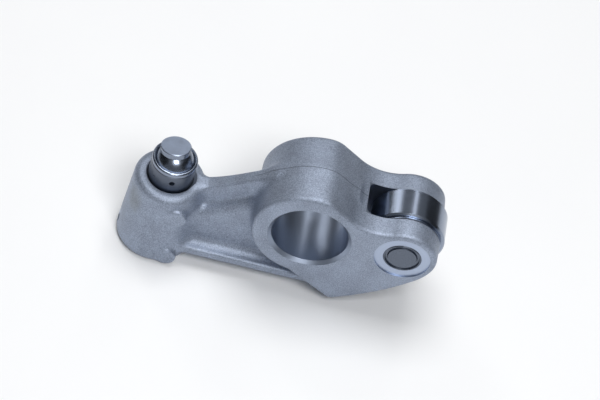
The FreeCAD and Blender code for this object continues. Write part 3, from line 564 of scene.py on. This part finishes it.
def arm_distance(x, y, z):
    """The arm: rib, web and flange about y = 0.

    The rib's top is a cubic through the stations, straight past the first and level past
    the third. The web ends RIB_HEIGHT under it and its half width runs evenly from
    the first of WEB_HALVES to the second at the base. Heights above a sloping top are
    taken square to it, times 1 / sqrt(1 + slope^2).
    """
    side = np.abs(y)
    rise = np.polyfit(ARM_STATIONS, ARM_TOPS, 3)
    place = np.clip(x, ARM_STATIONS[0], ARM_STATIONS[2])
    beyond = x - place
    slope = np.polyval(np.polyder(rise), place)
    top = np.polyval(rise, place) + slope * beyond * (beyond < 0)
    lean = 1 / np.sqrt(1 + slope * slope)
    rib = common(side - RIB_HALF, (z - top) * lean, SMALL_ROUND)
    shoulder = top - RIB_HEIGHT
    share = np.clip((shoulder - z) / (shoulder - ARM_BASE), 0, 1)
    half = WEB_HALVES[0] + (WEB_HALVES[1] - WEB_HALVES[0]) * share
    web = common(side - half, (z - shoulder) * lean, WEB_ROUND)
    level = np.abs(z - ARM_BASE - FLANGE_THICKNESS / 2) - FLANGE_THICKNESS / 2
    flange = common(side - FLANGE_HALF, level, SMALL_ROUND)
    arm = joined(joined(rib, web, RIB_HOLLOW), flange, FLANGE_HOLLOW)
    arm = np.maximum(arm, ARM_BASE - z)
    middle = sum(ARM_ENDS) / 2
    return np.maximum(arm, np.abs(x - middle) - (ARM_ENDS[1] - middle))


def boss_distance(x, y, z):
    """The boss: a cone about the adjuster's axis, wider below by an even spread, with rounded ends."""
    high = BOSS_TOP - BOSS_ROUNDS[0]
    low = BOSS_LOW + BOSS_ROUNDS[1]
    spread = (BOSS_RADII[1] - BOSS_RADII[0]) / (high - low)
    wall = np.hypot(x - ADJUSTER.x, y) - BOSS_RADII[0] - (high - z) * spread
    boss = common(wall / math.hypot(1, spread), z - BOSS_TOP, BOSS_ROUNDS[0])
    return common(boss, BOSS_LOW - z, BOSS_ROUNDS[1])


def casting_distance(x, y, z):
    """Distance from the raw casting, below 0 inside it.

    The side outline leans in by the draft towards both faces. Arm, boss and the two
    pads, cylinders along -Y with a height and a reach each, join it over their hollows.
    """
    half = HALF_WIDTH - np.abs(y)
    wall = (side_distance(x, z) - half * math.tan(DRAFT * DEGREE)) * math.cos(DRAFT * DEGREE)
    body = common(wall, -half, FACE_ROUND)
    body = joined(body, arm_distance(x, y, z), ROOT_BLEND)
    body = joined(body, boss_distance(x, y, z), BOSS_BLEND)
    for height, reach in PADS:
        wall = np.hypot(x - PAD_X, z - height) - PAD_RADIUS
        pad = common(np.maximum(wall, y), -y - reach, PAD_ROUND)
        body = joined(body, pad, PAD_BLEND)
    return body


def settled(points):
    """Points moved to the zero surface of casting_distance: p - f * grad f / |grad f|^2, a few times."""
    for _ in range(MOVES):
        slope = np.stack([casting_distance(*(points + probe).T) - casting_distance(*(points - probe).T)
                          for probe in np.eye(3) * PROBE], 1) / (2 * PROBE)
        square = np.maximum((slope ** 2).sum(1), LEAST_SQUARE)
        points = points - slope * (casting_distance(*points.T) / square)[:, None]
    return points


def grown_skin():
    """The casting's skin: a corner in each grid cell that the zero surface of its distance crosses.

    The four cells round each grid line between an inner and an outer point make a face,
    and every corner is then settled on the surface.
    """
    low = np.array((ADJUSTER.x - GRID_LEFT, -HALF_WIDTH - GRID_EDGE, BOSS_LOW - GRID_EDGE))
    high = np.array((PIN.x + GRID_RIGHT, HALF_WIDTH + GRID_EDGE, HUB_RADIUS + GRID_TOP))
    counts = np.ceil((high - low) / CELL).astype(int) + 1
    axes = [low[n] + CELL * np.arange(counts[n]) for n in range(3)]
    solid = casting_distance(*np.meshgrid(*axes, indexing="ij", sparse=True)) < 0
    shape = tuple(counts - 1)
    corners = [tuple(slice(first, first + size) for first, size in zip(corner, shape))
               for corner in np.ndindex(2, 2, 2)]
    inner = sum(solid[corner].astype(np.int8) for corner in corners)
    crossed = (inner > 0) & (inner < len(corners))
    number = np.full(shape, -1)
    number[crossed] = np.arange(int(crossed.sum()))
    points = low + CELL * (np.argwhere(crossed) + 0.5)
    faces = []
    for axis in range(3):
        others = [n for n in range(3) if n != axis]
        before = np.take(solid, range(counts[axis] - 1), axis)
        after = np.take(solid, range(1, counts[axis]), axis)
        for flip, change in ((False, before & ~after), (True, after & ~before)):
            spots = np.argwhere(change)
            ring = []
            for first, second in ((0, 0), (1, 0), (1, 1), (0, 1)):
                cell = spots.copy()
                cell[:, others[0]] -= first
                cell[:, others[1]] -= second
                ring.append(number[tuple(cell.T)])
            quads = np.stack(ring, 1)
            faces.append(quads[:, ::-1] if flip != (axis == 1) else quads)
    return settled(points), np.concatenate(faces)


def plain_object(name, points, faces):
    """An object at the origin whose mesh has rows of x, y, z as its points."""
    mesh = bpy.data.meshes.new(name)
    mesh.from_pydata(points.tolist(), [], faces)
    made = bpy.data.objects.new(name, mesh)
    bpy.context.scene.collection.objects.link(made)
    return made


def capped_tube(name, rings):
    """A closed solid whose skin runs through rings of points, each (count, 3), in turn."""
    rows, count = rings.shape[:2]
    ring = np.arange(count)
    after = np.roll(ring, -1)
    row = count * np.arange(rows - 1)[:, None]
    sides = np.stack((row + ring, row + after, row + count + after, row + count + ring), -1)
    last = ring + count * (rows - 1)
    faces = [ring[::-1].tolist()] + sides.reshape(-1, 4).tolist() + [last.tolist()]
    return plain_object(name, rings.reshape(-1, 3), faces)


def turned_tool(name, rows, place, turn, sides=TOOL_SIDES):
    """A cutter of rows (r, h) turned about its Z, each the ring (r cos a, r sin a, h), then put in place."""
    radius, height = np.array(rows, float).T[:, :, None]
    angle = 2 * math.pi * np.arange(sides) / sides
    ring = (radius * np.cos(angle), radius * np.sin(angle), height + 0 * angle)
    tool = capped_tube(name, np.stack(ring, -1))
    tool.data.transform(Matrix.Translation(place) @ turn.to_4x4())
    return tool


def slot_tool():
    """The slot's cutter: its outline in X and Y, with two rounded inner corners, drawn down along Z.

    Half of the outline is the corner's arc, c + r (cos a, sin a) from 180 to 90 degrees,
    and a point past the fork's end; its mirror image in y = 0, taken backwards, closes it.
    """
    angle = np.arange(180, 80, -10) * DEGREE
    x = SLOT_REACH + SLOT_CORNER + SLOT_CORNER * np.cos(angle)
    y = SLOT_HALF - SLOT_CORNER + SLOT_CORNER * np.sin(angle)
    half = np.column_stack((np.append(x, PIN.x + 2 * FORK_END_RADIUS), np.append(y, SLOT_HALF)))
    outline = np.concatenate((half, (half * (1, -1))[::-1]))
    ring = np.column_stack((outline, np.zeros(len(outline))))
    reach = np.array((0.0, 0.0, 2 * HUB_RADIUS))
    return capped_tube("slot_tool", np.stack((ring + reach, ring - reach)))


def machine(raw, tools):
    """Cut an object's mesh with tools, all in one boolean difference, and take the tools away."""
    bench = bpy.data.collections.new("bench")
    for tool in tools:
        bench.objects.link(tool)
    cut = raw.modifiers.new("cut", "BOOLEAN")
    cut.operation = "DIFFERENCE"
    cut.solver = "MANIFOLD"
    cut.operand_type = "COLLECTION"
    cut.collection = bench
    mesh = bpy.data.meshes.new_from_object(raw.evaluated_get(bpy.context.evaluated_depsgraph_get()))
    raw.modifiers.clear()
    raw.data = mesh
    for tool in tools:
        bpy.data.objects.remove(tool)
    bpy.data.collections.remove(bench)


def shaft_tool():
    """The shaft bore with a chamfer at both mouths."""
    end = HALF_WIDTH + OVERCUT
    mouth = HALF_WIDTH - SHAFT_CHAMFER
    wide = SHAFT_RADIUS + SHAFT_CHAMFER + OVERCUT
    rows = [(wide, -end), (SHAFT_RADIUS, -mouth), (SHAFT_RADIUS, mouth), (wide, end)]
    return turned_tool("shaft_tool", rows, (0, 0, 0), Matrix.Rotation(90 * DEGREE, 3, "X"))


def pin_tool():
    """The pin's bore between two spot faces."""
    end = HALF_WIDTH + OVERCUT
    spot = HALF_WIDTH - SPOT_DEPTH
    rows = [(SPOT_RADIUS, -end), (SPOT_RADIUS, -spot), (PIN_RADIUS, -spot),
            (PIN_RADIUS, spot), (SPOT_RADIUS, spot), (SPOT_RADIUS, end)]
    return turned_tool("pin_tool", rows, (PIN.x, 0, PIN.z), Matrix.Rotation(90 * DEGREE, 3, "X"))


def adjuster_tool():
    """The adjuster's blind bore, with its wire groove and the bevel at its mouth."""
    wire = BORE_RADIUS + GROOVE_WIRE
    groove = BOSS_TOP - GROOVE_DROP
    rows = [(BORE_RADIUS, BOSS_TOP - BORE_DEPTH), (BORE_RADIUS, groove - GROOVE_WIRE),
            (wire, groove - GROOVE_WIRE), (wire, groove + GROOVE_WIRE), (BORE_RADIUS, groove + GROOVE_WIRE),
            (BORE_RADIUS, BOSS_TOP - BORE_BEVEL), (BORE_RADIUS + BORE_BEVEL + OVERCUT, BOSS_TOP + OVERCUT)]
    return turned_tool("adjuster_tool", rows, (ADJUSTER.x, 0, 0), Matrix.Identity(3))


def gallery_tool():
    """The oil gallery, drilled through the boss up into the shaft bore, and its plug's seat."""
    reach = (-GALLERY_END - ADJUSTER.x) / math.cos(GALLERY_ANGLE * DEGREE)
    rows = [(PLUG_RADIUS, -GALLERY_START), (PLUG_RADIUS, -PLUG_SEAT),
            (GALLERY_RADIUS, -PLUG_SEAT), (GALLERY_RADIUS, reach)]
    tilt = Matrix.Rotation((90 - GALLERY_ANGLE) * DEGREE, 3, "Y")
    return turned_tool("gallery_tool", rows, (ADJUSTER.x, 0, BOSS_TOP - GALLERY_DROP), tilt, DRILL_SIDES)


def make_casting(finish):
    """The casting: its grown skin with the machined bores, spot faces, slot and gallery cut in it."""
    points, faces = grown_skin()
    casting = plain_object("cast_rocker_arm", points, faces.tolist())
    machine(casting, [shaft_tool(), pin_tool(), adjuster_tool()])
    machine(casting, [slot_tool(), gallery_tool()])
    mesh = casting.data
    mesh.transform(Matrix.Scale(MM, 4))
    mesh.shade_smooth()
    mesh.set_sharp_from_angle(angle=SHARP_ANGLE * DEGREE)
    mesh.materials.clear()
    mesh.materials.append(finish)
    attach(casting, "rocker")
    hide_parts("rocker_casting")


def flat_sheet(name, size, level, finish):
    """A rectangle of a size in X and Y, with its middle on the Z axis, level at a height."""
    corners = np.array([(-1, -1), (1, -1), (1, 1), (-1, 1)]) * np.array(size) / 2
    sheet = plain_object(name, np.column_stack((corners, np.full(4, level))), [(0, 1, 2, 3)])
    sheet.data.materials.append(finish)
    return sheet


def lay_floor():
    """A wide pale floor under the boss and the keel, on which the part lies."""
    f = Finish("floor_paper")
    paper = f.close(f.blend(f.noise(0.02, detail=3.0), *FLOOR_COLOURS), 0.85, 0.0)
    floor = flat_sheet("floor", (FLOOR_SIZE, FLOOR_SIZE), FLOOR_HEIGHT, paper)


def aimed(place):
    """The matrix that stands a thing at a place with its -Z turned to the shaft's middle."""
    toward = SHAFT_MIDDLE - Vector(place)
    return Matrix.Translation(place) @ toward.to_track_quat("-Z", "Y").to_matrix().to_4x4()


def hang_lamp(name, place, size, power):
    """A soft rectangular lamp at a place, turned to the shaft's middle."""
    light = bpy.data.lights.new(name, "AREA")
    light.shape = "RECTANGLE"
    light.size, light.size_y = size
    light.energy = power
    lamp = bpy.data.objects.new(name, light)
    bpy.context.scene.collection.objects.link(lamp)
    lamp.matrix_world = aimed(place)


def stand_card(name, place):
    """A black card beside the part, out of the camera's sight, that darkens the metal's reflections."""
    f = Finish(name + "_card_black")
    black = f.close(f.blend(f.noise(0.05), *CARD_COLOURS), 0.9, 0.0)
    card = flat_sheet(name + "_card", CARD_SIZE, 0.0, black)
    card.matrix_world = aimed(place)
    card.visible_camera = False


def set_world():
    """An even pale surround."""
    world = bpy.data.worlds.new("surround")
    world.use_nodes = True
    background = world.node_tree.nodes["Background"]
    background.inputs["Color"].default_value = SURROUND
    background.inputs["Strength"].default_value = SURROUND_STRENGTH
    bpy.context.scene.world = world


def set_camera():
    """The photograph's view: the frame turned about Y, X and Z, and the camera back from it."""
    turn_x, turn_y, turn_z = (
        Matrix.Rotation(angle * DEGREE, 3, axis) for angle, axis in zip(VIEW_TURNS, "XYZ"))
    turn = turn_z @ turn_x @ turn_y
    aside, down, away = VIEW_PLACE
    data = bpy.data.cameras.new("camera")
    data.lens = LENS
    data.sensor_width = SENSOR
    data.clip_start = 0.01
    data.clip_end = 20.0
    camera = bpy.data.objects.new("camera", data)
    bpy.context.scene.collection.objects.link(camera)
    camera.matrix_world = (Matrix.Translation(turn.transposed() @ Vector((-aside, -down, away)))
                           @ turn.transposed().to_4x4())
    bpy.context.scene.camera = camera


casting_finish = cast_aluminium()
give(["rocker_casting"], casting_finish)
make_casting(casting_finish)
give(["roller_ring"], turned_steel("ground_roller", 0.33, 0.20, "Y", PIN, lines=7.0))
give(["roller_pin"], turned_steel("ground_pin", 0.15, 0.26, "Y", PIN, lines=8.0))
give(["thrust_washer_front", "thrust_washer_back"], turned_steel("washer", 0.40, 0.25, "Y", PIN))
give(["adjuster_sleeve"], turned_steel("sleeve", 0.145, 0.28, "Z", ADJUSTER, lines=6.0, depth=0.010))
give(["retaining_ring"], turned_steel("rolled_ring", 0.30, 0.22, "Z", ADJUSTER, lines=6.0))
give(["swivel_foot"], foot_steel())
give(["adjuster_plunger", "check_cage", "stop_ring"], turned_steel("inner", 0.42, 0.3, "Z", ADJUSTER))
give(["plunger_spring", "check_spring"], wire_steel())
give(["check_ball", "gallery_plug"] + sorted(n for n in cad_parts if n.startswith("needle")),
     turned_steel("bearing", 0.55, 0.12, "Y", PIN))

lay_floor()
set_world()
for name, (place, size, power) in LAMPS.items():
    hang_lamp(name, place, size, power)
for name, place in CARDS.items():
    stand_card(name, place)
set_camera()
bpy.context.scene.view_settings.view_transform = "Standard"
